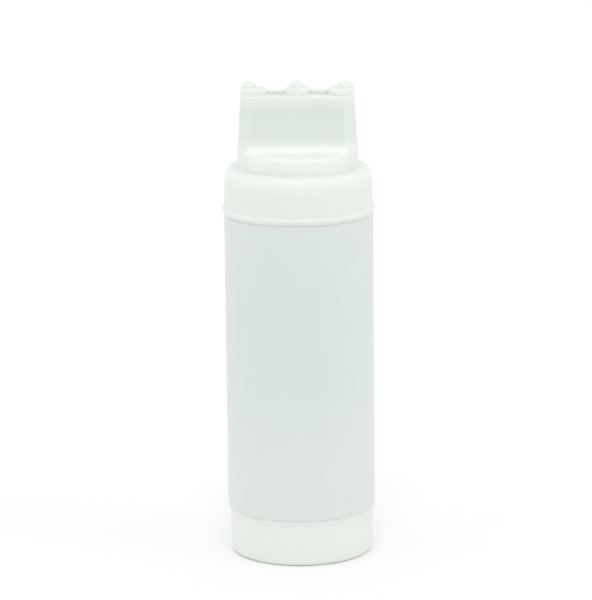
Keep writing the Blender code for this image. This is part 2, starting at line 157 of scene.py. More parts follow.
# The panels are darkest, partly as thin walls and partly as painted shade in the recess
PANEL_SHARE = 0.0
# The rib between the tips is dark: painted shade between the tips
RIB_SHARE = 0.20
RIB_MARGIN = TIP_SINK / 10
# Run over which a panel grows lighter to its foot: painted bounce light from the ledge
PANEL_FOOT_RUN = 0.0050
BASE_SHARE = 0.42

# Where the block's ends run out into the tower: heights about the roof's edge and gaps to its wall
BLEND_ABOVE = 0.0046
BLEND_BELOW = 0.0020
BLEND_NEAR = 0.0050
BLEND_FAR = 0.0105
BLEND_SINK = 0.00002

# Dust on the seals
SEAL_DUST = (0.7, 0.7, 0.68)

# Stage: half the floor's width, its darkest share of its colour, the share of its own glow, and the
# world's strength as light and as backdrop
FLOOR_REACH = 6.0
FLOOR_DRIFT = 0.985
FLOOR_GLOW = 0.12
WORLD_LIGHT = 0.94
WORLD_BACKDROP = 1.0

# Lamps: name, azimuth, elevation and width in degrees, strength
LAMPS = (
    ("front_softbox", 0.0, 62.0, 20.0, 0.36),
    ("right_softbox", 70.0, 20.0, 25.0, 0.21),
    ("left_softbox", -70.0, 20.0, 25.0, 0.12),
)

# Camera: its place before it turns about the bottle, and its turns in degrees
CAMERA_PLACE = (-0.00175, -1.645, 0.500)
CAMERA_DOWN = 12.82
CAMERA_ROLL = -0.65
CAMERA_TURN = 1.5


def length(words, default):
    """Makes a property that holds a length."""
    return FloatProperty(description=words, default=default, unit="LENGTH", precision=5)


def colour(words, default):
    """Makes a property that holds a colour."""
    return FloatVectorProperty(description=words, default=default, size=3, subtype="COLOR")


class BottleSizes(bpy.types.PropertyGroup):
    """Sizes of the body, its necks and both screw threads."""

    neck_radius: length("Outside of the neck below its thread", 0.0322)
    neck_wall: length("Wall of the neck", 0.0014)
    neck_root: length("Rounding where a neck meets its shoulder", 0.0006)
    body_wall: length("Wall of the soft body", 0.0011)
    upper_neck: length("Length of the neck under the nozzle cap", 0.01912)
    top_fillet: length("Rounding of the body's upper shoulder", 0.0001)
    foot_fillet: length("Rounding of the body's lower shoulder", 0.00018)
    foot_taper: length("How far the body draws in at its foot", 0.0003)
    foot_taper_height: length("Height of the drawn-in foot", 0.0016)
    foot_seam: length("Open seam between the body and the base cap", 0.00005)
    inner_fillet: length("Rounding inside the body's shoulders", 0.0014)
    cap_bore: length("Inside radius of both caps", 0.0336)
    lead_in: length("Chamfer at the mouth of each cap's bore", 0.0008)
    thread_pitch: length("Rise of the thread in one turn", 0.00423)
    thread_height: length("How far a thread stands out of its wall", 0.0009)
    thread_width: length("Width of a thread at its root", 0.0022)
    thread_inset: length("From a neck's rim to its nearest thread", 0.0032)
    thread_turns: FloatProperty(description="Turns of each thread", default=1.6)
    seal_width: length("Width of a sealing ring's section", 0.0029)
    seal_edge: length("Rounding of a sealing ring's edges", 0.0003)
    columns: IntProperty(description="Facets around each turned surface", default=256)


class BaseSizes(bpy.types.PropertyGroup):
    """Sizes of the base cap."""

    floor: length("Thickness of the floor", 0.0024)
    rim_step: length("How far the rim stays inside the body's outside", 0.0004)
    rim_height: length("Straight height of the rim", 0.0008)
    rim_fillet: length("Rounding of the rim's outer edge", 0.00025)
    taper: length("Height of the taper under the rim", 0.0020)
    taper_fillet: length("Rounding above and below the taper", 0.0020)
    wall_step: length("How far the wall stays inside the rim", 0.0007)
    wall_draft: length("How far the wall draws in down to its foot", 0.0003)
    foot_fillet: length("Rounding of the foot", 0.0026)
    rib_radius: length("Outside of the rib that centres the seal", 0.0291)
    rib_size: length("Width and height of the rib", 0.0010)
    small_fillet: length("Rounding of the edges inside", 0.0003)


class NozzleSizes(bpy.types.PropertyGroup):
    """Sizes of the nozzle cap."""

    bead_height: length("Height of the bead at the skirt's foot", 0.0048)
    bead_rise: length("Height over which the bead swells out", 0.0026)
    bead_fall: length("Height over which the bead draws in at its foot", 0.0028)
    bead_bulge: length("How far the bead stands out", 0.0012)
    skirt_draft: length("How far the skirt draws in up to its top", 0.0008)
    ceiling_rise: length("From the neck's rim to the ceiling over the seal", 0.0021)
    ceiling_wall: length("From the ceiling to the tower's foot", 0.0022)
    ceiling_radius: length("Outside of the flat over the seal", 0.0326)
    ceiling_chamfer: length("Height of the chamfer below the ceiling", 0.0024)
    shoulder_run: length("Width of the sloping shoulder", 0.0059)
    shoulder_drop: length("Fall of the sloping shoulder", 0.0005)
    shoulder_fillet: length("Rounding of the shoulder's outer edge", 0.0045)
    shoulder_root: length("Rounding between shoulder and tower", 0.0008)
    tower_draft: length("How far the tower draws in up to the roof", 0.0003)
    tower_wall: length("Wall of the tower at the roof", 0.0019)
    tower_edge: length("Rounding of the roof's outer edge", 0.0010)
    bore_flare: length("How far the tower's bore widens to the ceiling", 0.0005)
    roof_rise: length("How far the roof rises to the axis", 0.0021)
    roof_wall: length("Thickness of the roof", 0.0024)
    block_height: length("From the roof's edge to the block's top", 0.0274)
    block_step: length("How far the block's ends stay inside the tower", 0.0001)
    end_taper: length("How far each end of the block draws in upwards", 0.00165)
    top_depth: length("Half the block's depth at its top", 0.0072)
    face_taper: length("How far each face of the block draws in upwards", 0.0082)
    top_flat: length("Half the flat of an end at the top", 0.0009)
    foot_flat: length("Half the flat of an end at the foot", 0.0030)
    block_edge: length("Rounding of the block's top edge", 0.0010)
    block_root: length("Rounding between the block and the roof", 0.0016)
    top_wall: length("Thickness of the block's top", 0.0027)
    side_wall: length("Thickness of the block's ends", 0.0024)
    panel_frame: length("From the block's top corner to the panel's side", 0.00415)
    panel_foot_recess: length("Depth of the panel at its foot", 0.0021)
    panel_top_recess: length("Depth of the panel at its top", 0.0010)
    panel_wall: length("Wall behind the panel's foot", 0.0017)
    panel_foot: length("From the roof's edge to the panel's foot", 0.0038)
    ledge_run: length("Height of the gentle slope under the panel", 0.0016)
    panel_top: length("From the block's top to the panel's upper end", 0.0010)
    panel_run: length("Height over which the panel's upper end fades", 0.0088)
    pad_margin: length("From a pad to the block's face at its top", 0.0007)
    pad_end: length("From an outer pad to the block's end", 0.00005)
    pad_height: length("Height of a tip's wide step", 0.0034)
    pad_fillet: length("Rounding of a pad's top edge", 0.0015)
    dome_radius: length("Radius of a tip's narrow end", 0.00375)
    dome_end: length("From an outer dome to the block's end", 0.0006)
    dome_height: length("Height of a tip's narrow end", 0.0027)
    dome_fillet: length("Rounding of a dome's top", 0.0025)
    bore_radius: length("Radius of the hole in each tip", 0.0007)
    tip_root: length("Widest rounding at the foot of a tip's steps", 0.0009)
    rib_width: length("Width of the rib that joins the tips", 0.0028)
    rib_height: length("Height of the rib that joins the tips", 0.0021)
    rib_edge: length("Rounding of the rib's top edges", 0.0007)
    rib_root: length("Rounding at the rib's foot", 0.0006)


class BottleColours(bpy.types.PropertyGroup):
    """Colours of the plastics, the seals and the floor."""

    body_thin: colour("Thin soft wall", (0.682, 0.750, 0.713))
    # The paler body colour: painted bounce light from the floor towards the foot, also used just under
    # the skirt and a little towards the top
    body_pale_tone: colour("Heavier wall near the foot", (0.727, 0.768, 0.741))
    body_deep: colour("Uneven clouds in the body", (0.560, 0.640, 0.595))
    # The paler cap colour: where the plastic is heavier, and also painted light on the shoulder and a
    # painted highlight on the ledge
    cap_pale_tone: colour("Thick cap wall", (0.905, 0.915, 0.885))
    # The thin cap colour: thin walls, and also painted shade on the block's ends, in the panels'
    # recesses and on the rib
    cap_thin: colour("Cap where its wall is thin", (0.708, 0.775, 0.725))
    cap_deep: colour("Uneven clouds in the caps", (0.640, 0.700, 0.650))
    seal: colour("Silicone ring", (0.800, 0.815, 0.800))
    floor: colour("Pale floor", (0.940, 0.940, 0.940))


def rounded(corners):
    """Rounds an outline's corners.

    Each corner is (radius, height, fillet). A fillet becomes the arc that touches both of the
    corner's sides: its centre lies on their bisector, fillet / sin(half the angle between them) away.
    """
    points = [corners[0][:2]]
    for before, corner, after in zip(corners, corners[1:], corners[2:]):
        place = np.array(corner[:2])
        back = np.array(before[:2]) - place
        ahead = np.array(after[:2]) - place
        back /= np.linalg.norm(back)
        ahead /= np.linalg.norm(ahead)
        half = math.acos(max(-1.0, min(1.0, float(back @ ahead)))) / 2
        if corner[2] == 0 or half > STRAIGHT_HALF:
            points.append(tuple(place))
            continue
        bisector = (back + ahead) / np.linalg.norm(back + ahead)
        centre = place + bisector * corner[2] / math.sin(half)
        first = place + back * corner[2] / math.tan(half) - centre
        last = place + ahead * corner[2] / math.tan(half) - centre
        start = math.atan2(first[1], first[0])
        sweep = math.atan2(last[1], last[0]) - start
        sweep = (sweep + math.pi) % math.tau - math.pi
        count = max(2, math.ceil(abs(sweep) / ARC_STEP))
        turns = start + sweep * np.linspace(0.0, 1.0, count + 1)
        points += [tuple(centre + corner[2] * np.array((math.cos(t), math.sin(t)))) for t in turns]
    points.append(corners[-1][:2])
    return np.array(points)


def smoothstep(value):
    """Rises from 0 to 1 with level ends: 3 v squared minus 2 v cubed, with v held between 0 and 1."""
    held = np.clip(value, 0.0, 1.0)
    return held * held * (3 - 2 * held)


def on_wall(radius, wall):
    """Tells which points of an outline lie on a wall of a given radius."""
    return np.abs(radius - wall) < WALL_REACH


def threads(wall, starts, sizes, side):
    """Returns the lift that screw threads give a wall, one thread from each start height.

    A ridge's centre climbs by one pitch a turn from its start. Its section is a smooth hump as wide as
    the thread, and both of its ends run out over a part of a turn. Side is 1 outwards, -1 inwards.
    """

    def lift(radius, turn, height):
        hump = np.zeros(radius.shape)
        for start in starts:
            for lap in range(math.ceil(sizes.thread_turns)):
                along = turn / math.tau + lap
                centre = start + sizes.thread_pitch * along
                across = np.abs(height - centre) / (sizes.thread_width / 2)
                ends = smoothstep(along * THREAD_ENDS)
                ends = ends * smoothstep((sizes.thread_turns - along) * THREAD_ENDS)
                hump = np.maximum(hump, smoothstep((1 - across) * THREAD_SLOPE) * ends)
        return np.where(on_wall(radius, wall), side * sizes.thread_height * hump, 0.0)

    return lift


def grid_mesh(name, points, wrap_rows=False):
    """Makes a mesh from a grid of points, rows by columns by 3, whose columns close on themselves."""
    rows, columns = points.shape[:2]
    index = np.arange(rows * columns).reshape(rows, columns)
    upper = index if wrap_rows else index[:-1]
    lower = np.roll(index, -1, axis=0) if wrap_rows else index[1:]
    quads = np.stack([upper, lower, np.roll(lower, -1, axis=1), np.roll(upper, -1, axis=1)], axis=-1)
    mesh = bpy.data.meshes.new(name)
    mesh.from_pydata(points.reshape(-1, 3), [], quads.reshape(-1, 4))
    mesh.update()
    return mesh


def turned_mesh(name, outline, columns, lift=None, wrap_rows=False):
    """Turns an outline about Z: (r cos t, r sin t, z), with r moved out by the lift at (t, z)."""
    turn = np.linspace(0.0, math.tau, columns, endpoint=False)[None, :]
    radius = outline[:, :1] + np.zeros_like(turn)
    height = outline[:, 1:] + np.zeros_like(turn)
    if lift is not None:
        radius = radius + lift(radius, turn, height)
    points = np.stack([radius * np.cos(turn), radius * np.sin(turn), height], axis=-1)
    return grid_mesh(name, points, wrap_rows)


def new_piece(mesh):
    """Links a mesh to the scene as a piece of its name, with the points of its poles merged."""
    shape = bmesh.new()
    shape.from_mesh(mesh)
    bmesh.ops.remove_doubles(shape, verts=shape.verts, dist=WELD_REACH)
    shape.to_mesh(mesh)
    shape.free()
    item = bpy.data.objects.new(mesh.name, mesh)
    bpy.context.scene.collection.objects.link(item)
    return item


def set_tone_share(item, shares):
    """Stores a tone share at each vertex, from 0 for the darker colour to 1 for the paler one: how
    heavy the wall is, and also painted light and shade.
    """
    points = np.empty(len(item.data.vertices) * 3)
    item.data.vertices.foreach_get("co", points)
    layer = item.data.attributes.new("wall", "FLOAT", "POINT")
    layer.data.foreach_set("value", shares(points.reshape(-1, 3)).astype(np.float32))


def body_wall(points):
    """Returns the body's tone share: paler just under the skirt, towards the foot as painted bounce
    light from the floor, and a little towards the top.
    """
    height = points[:, 2]
    # Painted bounce light from the floor: paler towards the foot
    low = smoothstep((BODY_LOW_Z - height) / BODY_LOW_RUN)
    high = smoothstep((height - BODY_HIGH_Z) / BODY_HIGH_RUN) * BODY_HIGH_SHARE
    rim = smoothstep((height - SKIRT_BOTTOM_Z) / BODY_RIM_RUN + 1.0)
    return np.maximum(np.maximum(low, high), rim)


def nozzle_tone_share(points, nozzle):
    """Returns the nozzle cap's tone share.

    The turned part is lightest at its shoulder's rounding, partly for more plastic and partly as
    painted light from above, and darkens down the skirt; the shoulder's top is darker as painted
    shade. The hollow block and its panels are thinnest, the block's ends darkened as painted shade and
    the panels darker still as painted shade in the recess, lightening towards the foot as painted
    bounce light. The ledge under a panel is the lightest of all, partly for its solid corner and
    partly as a painted highlight, and the rib between the tips is dark as painted shade. A panel
    counts by how far the face lies behind the block's own plan.
    """
    across, depth = np.abs(points[:, :2]).T
    height = points[:, 2]
    roof_edge, block_top = nozzle_levels(nozzle)
    tower_foot = UPPER_RIM_Z + nozzle.ceiling_rise + nozzle.ceiling_wall
    inside = tower_radii(nozzle)[1] - nozzle.end_taper - nozzle.panel_frame
    panel_foot = roof_edge + nozzle.panel_foot
    rounding = tower_foot - nozzle.shoulder_drop - nozzle.shoulder_fillet

    def toward(share, goal, weight):
        return share + (goal - share) * weight

    # Lightest at the shoulder's rounding, partly for more plastic and partly as painted light from
    # above, darkening down the skirt; the shoulder's top is darker again as painted shade
    share = toward(SKIRT_SHARE, SHOULDER_SHARE, smoothstep((height - rounding) / SKIRT_RUN + 0.5))
    share = toward(share, TOP_SHARE, smoothstep((height - rounding - SHOULDER_RUN) / SHOULDER_RUN))
    tower = smoothstep((height - tower_foot) / nozzle.shoulder_root)
    share = toward(share, TOWER_SHARE, tower)
    share = toward(share, ROOF_SHARE, smoothstep((height - roof_edge) / nozzle.tower_edge + 1.0))
    # Painted shade: the block's ends and the tower's sides beside them are darkened
    side = smoothstep((across - inside) / SIDE_RUN + 0.5)
    share = share - SIDE_SHADE * side * tower
    # The ledge under a panel is lightest, partly for its solid corner and partly as a painted
    # highlight
    ledge = smoothstep((panel_foot - height) / LEDGE_RUN + 0.5)
    ledge = ledge * smoothstep((height - panel_foot + LEDGE_HEIGHT) / LEDGE_RUN + 0.5)
    share = toward(share, LEDGE_SHARE, ledge * (1.0 - side))
    block = smoothstep((height - roof_edge - nozzle.block_root) / nozzle.panel_run)
    lip = smoothstep((height - block_top) / LIP_RUN + 1.0)
    share = toward(share, toward(BLOCK_SHARE, LIP_SHARE, lip), block * (height > panel_foot))
    # The panels are darkest, as thin walls and as painted shade in the recess
    half_depth = block_sizes(height, nozzle)[1]
    panel = smoothstep((half_depth - depth) / nozzle.panel_top_recess)
    panel = panel * smoothstep((inside - across) / nozzle.block_edge + 1.0)
    panel = panel * (height < block_top - nozzle.block_edge)
    # Painted bounce light from the ledge: a panel is only half as dark at its foot
    panel = panel * (1.0 + smoothstep((height - panel_foot) / PANEL_FOOT_RUN)) / 2
    share = toward(share, PANEL_SHARE, panel * block)
    share = np.where(height > block_top, TIP_SHARE, share)
    # Painted shade between the tips: the rib that joins them is dark
    rib_zone = (height > block_top) * (depth < nozzle.rib_width / 2 + nozzle.rib_root)
    rib_zone = rib_zone * (height < block_top + nozzle.rib_height + RIB_MARGIN)
    return np.where(rib_zone, RIB_SHARE, share)


def finish_piece(item, body, node, material):
    """Shades a piece, gives it its finish, ties it to its body and hides its CAD node."""
    item.data.shade_smooth()
    item.data.set_sharp_from_angle(angle=SHARP_ANGLE)
    item.data.materials.clear()
    item.data.materials.append(material)
    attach(item, body)
    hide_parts(node)


class Nodes:
    """Adds nodes to a material's or a world's tree, with short names for the kinds used here."""

    def __init__(self, owner):
        owner.use_nodes = True
        self.owner = owner
        self.tree = owner.node_tree
        self.shader = self.tree.nodes.get("Principled BSDF")

    def add(self, kind, inputs, **settings):
        """Adds a node, sets its own settings and fills its inputs."""
        node = self.tree.nodes.new(kind)
        for key, value in settings.items():
            setattr(node, key, value)
        self.fill(node, inputs)
        return node

    def fill(self, node, inputs):
        """Sets a node's inputs to values, or links them from outputs."""
        for key, value in inputs.items():
            if isinstance(value, bpy.types.NodeSocket):
                self.tree.links.new(value, node.inputs[key])
            else:
                node.inputs[key].default_value = value

    def noise(self, scale, detail=4.0, roughness=0.55, rise=1.0):
        """Adds fractal noise in the object's own space, drawn out upwards where rise is below 1."""
        place = self.add("ShaderNodeTexCoord", {}).outputs["Object"]
        if rise != 1.0:
            inputs = {"Vector": place, "Scale": (1.0, 1.0, rise)}
            place = self.add("ShaderNodeMapping", inputs).outputs["Vector"]
        inputs = {"Vector": place, "Scale": scale, "Detail": detail, "Roughness": roughness}
        return self.add("ShaderNodeTexNoise", inputs).outputs["Fac"]

    def math(self, operation, first, second):
        """Adds a sum of two values."""
        return self.add("ShaderNodeMath", {0: first, 1: second}, operation=operation).outputs[0]

    def remap(self, value, span, onto, interpolation="LINEAR"):
        """Maps a value from one span of numbers onto another."""
        inputs = {"Value": value, "From Min": span[0], "From Max": span[1]}
        inputs.update({"To Min": onto[0], "To Max": onto[1]})
        node = self.add("ShaderNodeMapRange", inputs, interpolation_type=interpolation)
        return node.outputs["Result"]

    def mix(self, share, first, second):
        """Mixes two colours."""
        inputs = {"Factor": share, "A": first, "B": second}
        return self.add("ShaderNodeMix", inputs, data_type="RGBA").outputs["Result"]

    def bump(self, height, strength, distance, **under):
        """Adds a bump, over another one if its normal is given."""
        inputs = {"Strength": strength, "Distance": distance, "Height": height, **under}
        return self.add("ShaderNodeBump", inputs).outputs["Normal"]


def opaque(rgb):
    """Adds full alpha to a colour."""
    return (*rgb, 1.0)


def polyethylene(name, kind, depth):
    """Milky moulded polyethylene.

    The colour runs from the thin colour to the paler one by the piece's tone share, which holds how
    heavy the wall is and also painted light and shade, and drifts with uneven cooling. A fine satin
    grain, long flow marks and a few rubbed spots vary the gloss and the normal.
    """
    colours = bpy.context.scene.bottle_colours
    parts = (kind + "_pale_tone", kind + "_thin", kind + "_deep")
    pale_tone, thin, deep = (opaque(getattr(colours, part)) for part in parts)
    nodes = Nodes(bpy.data.materials.new(name))
    drift = nodes.noise(scale=38.0, detail=3.0, rise=0.35)
    speck = nodes.noise(scale=900.0, detail=2.0)
    rub = nodes.noise(scale=260.0, detail=5.0, roughness=0.7, rise=0.12)
    flow = nodes.noise(scale=120.0, detail=3.0, roughness=0.5, rise=0.2)
    grain = nodes.noise(scale=2600.0, detail=3.0, roughness=0.6)
    wall = nodes.add("ShaderNodeAttribute", {}, attribute_name="wall").outputs["Fac"]
    # The tone share mixes the thin colour into the paler one: how heavy the wall is, and also painted
    # light and shade
    tint = nodes.mix(wall, thin, pale_tone)
    cloud = nodes.remap(drift, span=(0.25, 0.75), onto=(0.0, 0.10))
    spot = nodes.remap(speck, span=(0.73, 0.78), onto=(0.0, 0.35))
    tint = nodes.mix(spot, nodes.mix(cloud, tint, deep), deep)
    satin = nodes.remap(drift, span=(0.3, 0.7), onto=(0.33, 0.43))
    rubbed = nodes.remap(rub, (0.56, 0.74), (0.0, 1.0), interpolation="SMOOTHSTEP")
    coarse = nodes.bump(flow, strength=0.20, distance=0.00025)
    nodes.fill(nodes.shader, {
        "Base Color": tint,
        "Roughness": nodes.math("ADD", satin, nodes.math("MULTIPLY", rubbed, 0.12)),
        "Normal": nodes.bump(grain, strength=0.10, distance=0.00005, Normal=coarse),
        "Subsurface Weight": 0.6,
        "Subsurface Radius": (1.0, 1.1, 1.0),
        "Subsurface Scale": depth,
        "IOR": 1.51,
        "Specular IOR Level": 0.4,
    })
    return nodes.owner


def silicone(name, rgb):
    """Matt silicone with a dusty drift and a fine moulded grain."""
    nodes = Nodes(bpy.data.materials.new(name))
    dust = nodes.noise(scale=180.0)
    cover = nodes.remap(dust, span=(0.3, 0.7), onto=(0.0, 0.2))
    nodes.fill(nodes.shader, {
        "Base Color": nodes.mix(cover, opaque(rgb), opaque(SEAL_DUST)),
        "Roughness": nodes.remap(dust, span=(0.3, 0.7), onto=(0.55, 0.72)),
        "Normal": nodes.bump(nodes.noise(scale=3000.0), strength=0.15, distance=0.00004),
        "Subsurface Weight": 0.4,
        "Subsurface Scale": 0.0006,
    })
    return nodes.owner


def refine(outline, spacing):
    """Adds points to an outline, so that each run's points lie no further apart than its spacing."""
    pieces = []
    for first, last in zip(outline[:-1], outline[1:]):
        count = max(1, math.ceil(np.linalg.norm(last - first) / spacing(first, last)))
        pieces.append(first + (last - first) * np.arange(count)[:, None] / count)
    pieces.append(outline[-1:])
    return np.concatenate(pieces)


def fine_neck(outline, sizes):
    """Adds points to an outline: close together on the threaded wall, further apart elsewhere."""

    def spacing(first, last):
        neck = on_wall(first[0], sizes.neck_radius) and on_wall(last[0], sizes.neck_radius)
        bore = on_wall(first[0], sizes.cap_bore) and on_wall(last[0], sizes.cap_bore)
        return THREAD_SPACING if neck or bore else PLAIN_SPACING

    return refine(outline, spacing)


class BOTTLE_OT_body(bpy.types.Operator):
    """Builds the soft body with both threaded necks"""

    bl_idname = "bottle.body"
    bl_label = "Soft Body"

    def execute(self, context):
        sizes = context.scene.bottle_sizes
        upper_shoulder = UPPER_RIM_Z - sizes.upper_neck
        lower_shoulder = BASE_RIM_Z + sizes.foot_seam
        bore = sizes.neck_radius - sizes.neck_wall
        inside = BODY_RADIUS - sizes.body_wall
        rim = sizes.neck_wall / 3
        outline = rounded([
            (bore, UPPER_RIM_Z - rim * 2, 0),
            (bore, UPPER_RIM_Z, rim),
            (sizes.neck_radius, UPPER_RIM_Z, rim),
            (sizes.neck_radius, upper_shoulder, sizes.neck_root),
            (BODY_RADIUS, upper_shoulder, sizes.top_fillet),
            (BODY_RADIUS, lower_shoulder + sizes.foot_taper_height, sizes.foot_taper_height),
            (BODY_RADIUS - sizes.foot_taper, lower_shoulder, sizes.foot_fillet),
            (sizes.neck_radius, lower_shoulder, sizes.neck_root),
            (sizes.neck_radius, LOWER_RIM_Z, rim),
            (bore, LOWER_RIM_Z, rim),
            (bore, lower_shoulder + sizes.body_wall, sizes.neck_root),
            (inside, lower_shoulder + sizes.body_wall, sizes.inner_fillet),
            (inside, upper_shoulder - sizes.body_wall, sizes.inner_fillet),
            (bore, upper_shoulder - sizes.body_wall, sizes.neck_root),
            (bore, UPPER_RIM_Z - rim * 3, 0),
        ])
        outline = fine_neck(outline, sizes)
        top_start = UPPER_RIM_Z - sizes.thread_inset - sizes.thread_pitch * sizes.thread_turns
        low_start = LOWER_RIM_Z + sizes.thread_inset
        lift = threads(sizes.neck_radius, (top_start, low_start), sizes, 1.0)
        item = new_piece(turned_mesh("soft_body", outline, sizes.columns, lift, True))
        set_tone_share(item, body_wall)
        material = polyethylene("body_polyethylene", "body", depth=0.0012)
        finish_piece(item, "bottle", "bottle_body", material)
        return {"FINISHED"}


class BOTTLE_OT_base_cap(bpy.types.Operator):
    """Builds the base cap with its flush rim and inner thread"""

    bl_idname = "bottle.base_cap"
    bl_label = "Base Cap"

    def execute(self, context):
        sizes = context.scene.bottle_sizes
        base = context.scene.base_sizes
        small = base.small_fillet
        rib_inside = base.rib_radius - base.rib_size
        rim = BODY_RADIUS - base.rim_step
        wall = rim - base.wall_step
        taper_top = BASE_RIM_Z - base.rim_height
        outline = rounded([
            (0.0, base.floor, 0),
            (rib_inside, base.floor, small),
            (rib_inside, base.floor + base.rib_size, small),
            (base.rib_radius, base.floor + base.rib_size, small),
            (base.rib_radius, base.floor, small),
            (sizes.cap_bore, base.floor, sizes.lead_in),
            (sizes.cap_bore, BASE_RIM_Z - sizes.lead_in, small),
            (sizes.cap_bore + sizes.lead_in, BASE_RIM_Z, small),
            (rim, BASE_RIM_Z, base.rim_fillet),
            (rim, taper_top, base.rim_height),
            (wall, taper_top - base.taper, base.taper_fillet),
            (wall - base.wall_draft, 0.0, base.foot_fillet),
            (0.0, 0.0, 0),
        ])
        outline = fine_neck(outline, sizes)
        start = LOWER_RIM_Z + sizes.thread_inset + sizes.thread_pitch / 2
        lift = threads(sizes.cap_bore, (start,), sizes, -1.0)
        item = new_piece(turned_mesh("base_moulding", outline, sizes.columns, lift))
        set_tone_share(item, lambda points: np.full(len(points), BASE_SHARE))
        material = polyethylene("base_polyethylene", "cap", depth=0.0015)
        finish_piece(item, "base", "base_cap", material)
        return {"FINISHED"}


class BOTTLE_OT_seals(bpy.types.Operator):
    """Builds the two silicone sealing rings"""

    bl_idname = "bottle.seals"
    bl_label = "Sealing Rings"

    def execute(self, context):
        sizes = context.scene.bottle_sizes
        material = silicone("seal_silicone", context.scene.bottle_colours.seal)
        for node, body in (("nozzle_seal", "nozzle_ring"), ("base_seal", "base_ring")):
            low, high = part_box(node)
            outer = high[0]
            inner = outer - sizes.seal_width
            fillet = sizes.seal_edge
            outline = rounded([
                (inner, (low[2] + high[2]) / 2, 0),
                (inner, high[2], fillet),
                (outer, high[2], fillet),
                (outer, low[2], fillet),
                (inner, low[2], fillet),
                (inner, (low[2] + high[2]) / 2 - fillet, 0),
            ])
            item = new_piece(turned_mesh(node + "_ring", outline, SEAL_COLUMNS, None, True))
            finish_piece(item, body, node, material)
        return {"FINISHED"}


def nozzle_levels(nozzle):
    """Returns the heights of the roof's edge and the block's top."""
    block_top = TIP_TOP_Z - nozzle.dome_height - nozzle.pad_height
    return block_top - nozzle.block_height, block_top


def tower_radii(nozzle):
    """Returns the tower's radius at its foot and at the roof's edge."""
    foot = BODY_RADIUS - nozzle.skirt_draft - nozzle.shoulder_run
    return foot, foot - nozzle.tower_draft


def roof_height(radius, nozzle):
    """Returns the roof's height at a radius: a shallow cone from the tower's edge up to the axis."""
    edge = tower_radii(nozzle)[1]
    return nozzle_levels(nozzle)[0] + nozzle.roof_rise * (1 - radius / edge)


def nozzle_shell(bottle, nozzle):
    """Turns the bead, skirt, shoulder, tower and roof, with the threaded bore inside."""
    roof_edge = nozzle_levels(nozzle)[0]
    tower_foot_radius, tower_radius = tower_radii(nozzle)
    ceiling = UPPER_RIM_Z + nozzle.ceiling_rise
    tower_foot = ceiling + nozzle.ceiling_wall
    bead_top = SKIRT_BOTTOM_Z + nozzle.bead_height
    bead_z = np.linspace(bead_top, SKIRT_BOTTOM_Z, BEAD_ROWS)
    swell = smoothstep((bead_top - bead_z) / nozzle.bead_rise)
    draw = smoothstep((bead_z - SKIRT_BOTTOM_Z) / nozzle.bead_fall)
    bead = np.stack([BODY_RADIUS + nozzle.bead_bulge * swell * draw, bead_z], axis=1)
    outside = rounded([
        (0.0, roof_edge + nozzle.roof_rise, 0),
        (tower_radius, roof_edge, nozzle.tower_edge),
        (tower_foot_radius, tower_foot, nozzle.shoulder_root),
        (BODY_RADIUS - nozzle.skirt_draft, tower_foot - nozzle.shoulder_drop, nozzle.shoulder_fillet),
        (BODY_RADIUS, bead_top, 0),
    ])
    bore = tower_radius - nozzle.tower_wall
    inside = rounded([
        tuple(bead[-1]) + (0,),
        (bottle.cap_bore + bottle.lead_in, SKIRT_BOTTOM_Z, bottle.foot_fillet),
        (bottle.cap_bore, SKIRT_BOTTOM_Z + bottle.lead_in, bottle.foot_fillet),
        (bottle.cap_bore, ceiling - nozzle.ceiling_chamfer, bottle.neck_root),
        (nozzle.ceiling_radius, ceiling, bottle.foot_fillet),
        (bore + nozzle.bore_flare, ceiling, bottle.neck_root),
        (bore, roof_edge - nozzle.roof_wall, bottle.lead_in),
        (0.0, roof_edge + nozzle.roof_rise - nozzle.roof_wall, 0),
    ])
    outline = np.concatenate([outside[:-1], bead, inside[1:]])
    start = UPPER_RIM_Z - bottle.thread_inset - bottle.thread_pitch * (bottle.thread_turns + 0.5)
    lift = threads(bottle.cap_bore, (start,), bottle, -1.0)
    return turned_mesh("nozzle_moulding", fine_neck(outline, bottle), bottle.columns, lift)


def plan_columns(straight, side, corner):
    """Returns, for each column around a rounded rectangle, its place on the core and its direction.

    The core is the rectangle that the corner circles' centres span. A point is the core's point plus
    the corner radius along the direction, so flats and corners share one formula.
    """
    core, turns = [], []
    for quarter, signs in enumerate(((1.0, 1.0), (-1.0, 1.0), (-1.0, -1.0), (1.0, -1.0))):
        axis = quarter % 2
        count = (straight, side)[axis]
        run = np.tile(signs, (count, 1))
        run[:, axis] *= 1 - 2 * np.arange(count) / count
        core += [np.tile(signs, (corner, 1)), run]
        turns.append(math.pi / 2 * (quarter + np.arange(corner) / corner))
        turns.append(np.full(count, math.pi / 2 * (quarter + 1)))
    return *np.concatenate(core).T, np.concatenate(turns)


def ramp(distance, slope, softness):
    """Rises from 0 at a given slope past zero distance, with a rounded foot of the given softness."""
    return slope * (distance + np.sqrt(distance * distance + softness * softness)) / 2


def soft_least(first, second, softness):
    """Returns the lesser of two lengths, blended over a small softness."""
    return (first + second - np.sqrt((first - second) ** 2 + softness * softness)) / 2


def block_sizes(height, nozzle):
    """Returns the block's half width, half depth and corner radius at each height."""
    share = (height - nozzle_levels(nozzle)[0]) / nozzle.block_height
    width = tower_radii(nozzle)[1] - nozzle.block_step - nozzle.end_taper * share
    depth = nozzle.top_depth + nozzle.face_taper * (1 - share)
    flat = nozzle.foot_flat + (nozzle.top_flat - nozzle.foot_flat) * share
    return width, depth, depth - flat


